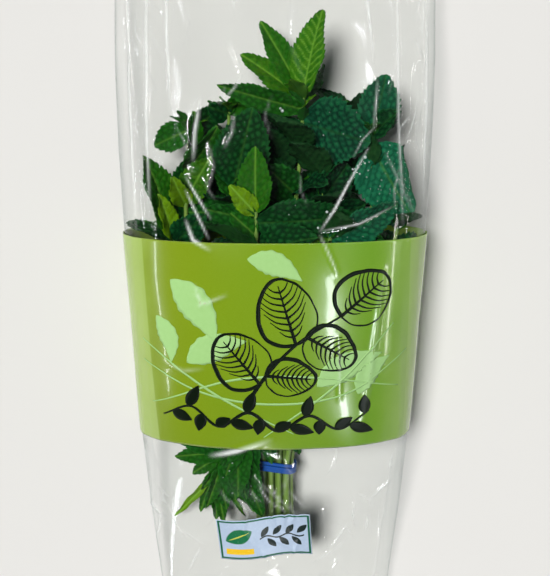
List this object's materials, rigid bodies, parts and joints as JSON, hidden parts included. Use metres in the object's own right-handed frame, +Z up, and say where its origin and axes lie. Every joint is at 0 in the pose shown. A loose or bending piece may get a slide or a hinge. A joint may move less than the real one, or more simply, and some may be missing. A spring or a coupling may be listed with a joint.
{
  "type": "mint bunch in sleeve",
  "caption": "Bunch of leafy mint stems tied with a rubber band inside a clear tapered film sleeve with a green printed band and a small flag label, lying on its back.",
  "frame": {"origin": "on the surface that the bunch lies on, under the middle of the sleeve", "axes": "+Y from the cut stems to the sleeve's mouth, +Z up through the front of the printed band, +X to the right seen from above"},
  "size_m": [0.1724, 0.4003, 0.0753],
  "materials": {
    "clear_film": "clear glossy film",
    "green_print": "glossy printed film",
    "white_label": "glossy printed film",
    "blue_rubber": "matt rubber",
    "mint_leaf": "quilted, softly shiny leaf"
  },
  "bodies": {
    "root": {"sleeve": "clear_film", "printed_band": "green_print", "small_label": "white_label", "rubber_band": "blue_rubber", "sprig_front_far_left": "mint_leaf", "sprig_front_young": "mint_leaf", "sprig_front_right": "mint_leaf", "sprig_front_far_right": "mint_leaf", "sprig_middle_far_left": "mint_leaf", "sprig_middle_left": "mint_leaf", "sprig_tall": "mint_leaf", "sprig_middle_right": "mint_leaf", "sprig_middle_far_right": "mint_leaf", "sprig_back_left": "mint_leaf", "sprig_back": "mint_leaf", "sprig_back_right": "mint_leaf"}
  },
  "joints": []
}
